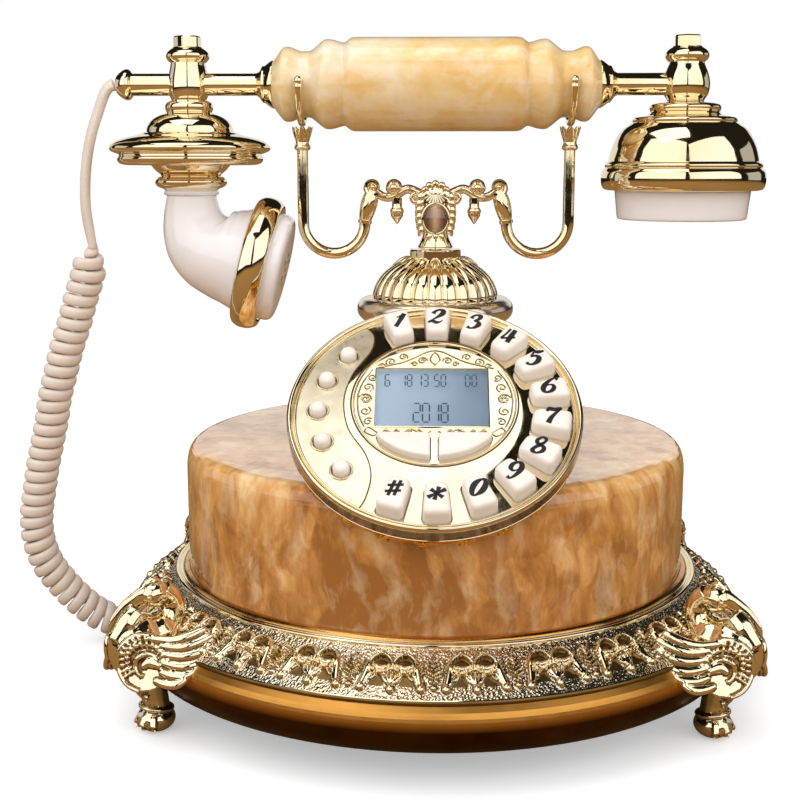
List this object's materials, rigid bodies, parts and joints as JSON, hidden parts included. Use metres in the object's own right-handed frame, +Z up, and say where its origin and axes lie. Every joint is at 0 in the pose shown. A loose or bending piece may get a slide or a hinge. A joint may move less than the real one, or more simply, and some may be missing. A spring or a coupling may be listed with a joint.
{
  "type": "telephone",
  "caption": "Antique-style desk telephone: stone drum on swan feet, tilted ring of push keys with display, stone-handled handset on a sprung cradle.",
  "frame": {"origin": "centre of the base at table level, under the drum's axis", "axes": "+X to the user's right, -Y towards the user, +Z up"},
  "size_m": [0.2961, 0.2434, 0.2475],
  "materials": {
    "gold": "mirror-polished pale gold plating",
    "onyx": "polished honey onyx with cloudy veins",
    "skirt_plastic": "satin golden-brown lacquered moulding",
    "dark_plastic": "moulded, fine texture",
    "key_plastic": "satin cream keycap",
    "white_plastic": "glossy white moulding",
    "cabochon_stone": "polished chatoyant brown stone",
    "steel": "plain",
    "rubber_sheet": "matt",
    "circuit_board": "solder-masked board",
    "display": "blue-grey backlit display with dark segments",
    "display_glass": "clear flat window",
    "cord_plastic": "satin cream cord jacket",
    "clear_plastic": "clear moulded plug"
  },
  "bodies": {
    "base": {"base_plate": "dark_plastic", "base_skirt": "skirt_plastic", "frieze_band": "gold", "onyx_drum": "onyx", "swan_foot_front_left": "gold", "swan_foot_front_right": "gold", "swan_foot_rear_left": "gold", "swan_foot_rear_right": "gold", "pillar": "gold", "fluted_dome": "gold", "dial_bowl": "gold", "dial_face": "gold", "lcd_module": "display", "lcd_window": "display_glass", "keypad_sheet": "rubber_sheet", "keypad_board": "circuit_board", "main_board": "circuit_board", "base_speaker": "dark_plastic", "line_jack": "dark_plastic", "handset_jack": "dark_plastic", "case_screws": "steel", "hook_switch": "dark_plastic", "hook_spring": "steel", "cord_coil": "cord_plastic", "cord_tail": "cord_plastic", "cord_plug": "clear_plastic"},
    "cradle": {"cradle_stem": "gold", "cradle_arms": "gold", "cabochon": "cabochon_stone", "hook_plunger": "steel"},
    "handset": {"onyx_grip": "onyx", "handset_tube": "gold", "mic_post": "gold", "mic_horn": "white_plastic", "mic_rim": "gold", "mic_cap": "white_plastic", "mic_capsule": "dark_plastic", "ear_bell": "gold", "ear_cap": "white_plastic", "ear_speaker": "dark_plastic", "cord_lead": "cord_plastic"},
    "key_1": {"key_1": "key_plastic"},
    "key_2": {"key_2": "key_plastic"},
    "key_3": {"key_3": "key_plastic"},
    "key_4": {"key_4": "key_plastic"},
    "key_5": {"key_5": "key_plastic"},
    "key_6": {"key_6": "key_plastic"},
    "key_7": {"key_7": "key_plastic"},
    "key_8": {"key_8": "key_plastic"},
    "key_9": {"key_9": "key_plastic"},
    "key_0": {"key_0": "key_plastic"},
    "key_star": {"key_star": "key_plastic"},
    "key_hash": {"key_hash": "key_plastic"},
    "key_speaker": {"key_speaker": "key_plastic"},
    "key_redial": {"key_redial": "key_plastic"},
    "button_up": {"button_up": "key_plastic"},
    "button_down": {"button_down": "key_plastic"},
    "button_delete": {"button_delete": "key_plastic"},
    "button_out": {"button_out": "key_plastic"},
    "button_set": {"button_set": "key_plastic"}
  },
  "joints": [
    {"name": "handset_lift", "type": "slide", "parent": "base", "child": "handset", "axis": [0, 0, 1], "range_m": [0, 0.06]},
    {"name": "hook_rise", "type": "slide", "parent": "base", "child": "cradle", "axis": [0, 0, 1], "range_m": [0, 0.004], "deforming": ["hook_spring"]},
    {"name": "key_1_press", "type": "slide", "parent": "base", "child": "key_1", "axis": [0, 0.6157, -0.788], "range_m": [0, 0.0015], "stiffness_N_per_m": 250, "springref_m": -0.001},
    {"name": "key_2_press", "type": "slide", "parent": "base", "child": "key_2", "axis": [0, 0.6157, -0.788], "range_m": [0, 0.0015], "stiffness_N_per_m": 250, "springref_m": -0.001},
    {"name": "key_3_press", "type": "slide", "parent": "base", "child": "key_3", "axis": [0, 0.6157, -0.788], "range_m": [0, 0.0015], "stiffness_N_per_m": 250, "springref_m": -0.001},
    {"name": "key_4_press", "type": "slide", "parent": "base", "child": "key_4", "axis": [0, 0.6157, -0.788], "range_m": [0, 0.0015], "stiffness_N_per_m": 250, "springref_m": -0.001},
    {"name": "key_5_press", "type": "slide", "parent": "base", "child": "key_5", "axis": [0, 0.6157, -0.788], "range_m": [0, 0.0015], "stiffness_N_per_m": 250, "springref_m": -0.001},
    {"name": "key_6_press", "type": "slide", "parent": "base", "child": "key_6", "axis": [0, 0.6157, -0.788], "range_m": [0, 0.0015], "stiffness_N_per_m": 250, "springref_m": -0.001},
    {"name": "key_7_press", "type": "slide", "parent": "base", "child": "key_7", "axis": [0, 0.6157, -0.788], "range_m": [0, 0.0015], "stiffness_N_per_m": 250, "springref_m": -0.001},
    {"name": "key_8_press", "type": "slide", "parent": "base", "child": "key_8", "axis": [0, 0.6157, -0.788], "range_m": [0, 0.0015], "stiffness_N_per_m": 250, "springref_m": -0.001},
    {"name": "key_9_press", "type": "slide", "parent": "base", "child": "key_9", "axis": [0, 0.6157, -0.788], "range_m": [0, 0.0015], "stiffness_N_per_m": 250, "springref_m": -0.001},
    {"name": "key_0_press", "type": "slide", "parent": "base", "child": "key_0", "axis": [0, 0.6157, -0.788], "range_m": [0, 0.0015], "stiffness_N_per_m": 250, "springref_m": -0.001},
    {"name": "key_star_press", "type": "slide", "parent": "base", "child": "key_star", "axis": [0, 0.6157, -0.788], "range_m": [0, 0.0015], "stiffness_N_per_m": 250, "springref_m": -0.001},
    {"name": "key_hash_press", "type": "slide", "parent": "base", "child": "key_hash", "axis": [0, 0.6157, -0.788], "range_m": [0, 0.0015], "stiffness_N_per_m": 250, "springref_m": -0.001},
    {"name": "key_speaker_press", "type": "slide", "parent": "base", "child": "key_speaker", "axis": [0, 0.6157, -0.788], "range_m": [0, 0.0015], "stiffness_N_per_m": 250, "springref_m": -0.001},
    {"name": "key_redial_press", "type": "slide", "parent": "base", "child": "key_redial", "axis": [0, 0.6157, -0.788], "range_m": [0, 0.0015], "stiffness_N_per_m": 250, "springref_m": -0.001},
    {"name": "button_up_press", "type": "slide", "parent": "base", "child": "button_up", "axis": [0, 0.6157, -0.788], "range_m": [0, 0.0015], "stiffness_N_per_m": 250, "springref_m": -0.001},
    {"name": "button_down_press", "type": "slide", "parent": "base", "child": "button_down", "axis": [0, 0.6157, -0.788], "range_m": [0, 0.0015], "stiffness_N_per_m": 250, "springref_m": -0.001},
    {"name": "button_delete_press", "type": "slide", "parent": "base", "child": "button_delete", "axis": [0, 0.6157, -0.788], "range_m": [0, 0.0015], "stiffness_N_per_m": 250, "springref_m": -0.001},
    {"name": "button_out_press", "type": "slide", "parent": "base", "child": "button_out", "axis": [0, 0.6157, -0.788], "range_m": [0, 0.0015], "stiffness_N_per_m": 250, "springref_m": -0.001},
    {"name": "button_set_press", "type": "slide", "parent": "base", "child": "button_set", "axis": [0, 0.6157, -0.788], "range_m": [0, 0.0015], "stiffness_N_per_m": 250, "springref_m": -0.001}
  ],
  "couplings": [
    {"joint": "hook_rise", "follows": "handset_lift", "ratio": 0.0666}
  ]
}
